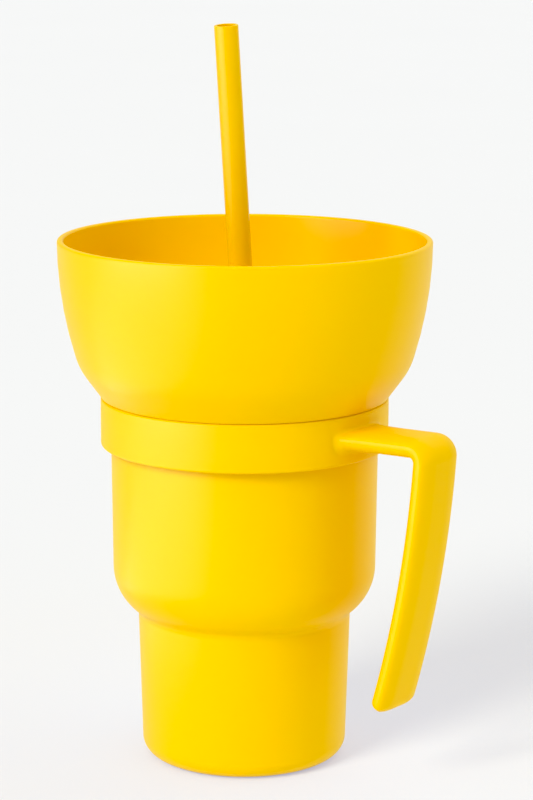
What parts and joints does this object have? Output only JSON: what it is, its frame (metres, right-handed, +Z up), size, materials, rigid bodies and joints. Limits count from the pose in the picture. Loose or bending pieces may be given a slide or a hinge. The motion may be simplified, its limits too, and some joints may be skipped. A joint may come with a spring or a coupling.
{
  "type": "snack and drink cup",
  "caption": "Stepped plastic drink cup with a screw-on snack bowl as its lid, a straw through the bowl and a collar with an open handle.",
  "frame": {"origin": "centre of the ring that the cup stands on, at table height", "axes": "+Z up along the cup's axis, +X towards the handle"},
  "size_m": [0.1441, 0.126, 0.2508],
  "materials": {
    "cup_yellow": "satin moulded polypropylene",
    "collar_yellow": "fine matte moulded polypropylene",
    "bowl_yellow": "satin moulded polypropylene",
    "straw_yellow": "smooth extruded polypropylene",
    "seal_silicone": "matte silicone",
    "grommet_silicone": "matte silicone"
  },
  "bodies": {
    "cup": {"cup_body": "cup_yellow"},
    "collar": {"handle_collar": "collar_yellow"},
    "seal": {"bowl_seal": "seal_silicone"},
    "bowl": {"snack_bowl": "bowl_yellow"},
    "grommet": {"straw_grommet": "grommet_silicone"},
    "drinking_straw": {"straw": "straw_yellow"}
  },
  "joints": [
    {"name": "collar_turn", "type": "hinge", "parent": "cup", "child": "collar", "pos_m": [0, 0, 0.115], "axis": [0, 0, 1], "continuous": true},
    {"name": "bowl_lift", "type": "slide", "parent": "cup", "child": "seal", "axis": [0, 0, 1], "range_m": [0, 0.007]},
    {"name": "bowl_turn", "type": "hinge", "parent": "seal", "child": "bowl", "pos_m": [0, 0, 0.125], "axis": [0, 0, 1], "range_deg": [0, 205]},
    {"name": "straw_swivel", "type": "hinge", "parent": "bowl", "child": "grommet", "pos_m": [0, 0, 0.14355], "axis": [0, 0, 1], "continuous": true},
    {"name": "straw_slide", "type": "slide", "parent": "grommet", "child": "drinking_straw", "axis": [0, -0.0958, 0.9954], "range_m": [0, 0.15]}
  ],
  "couplings": [
    {"joint": "bowl_lift", "follows": "bowl_turn", "m_per_rad": 0.0019099}
  ]
}
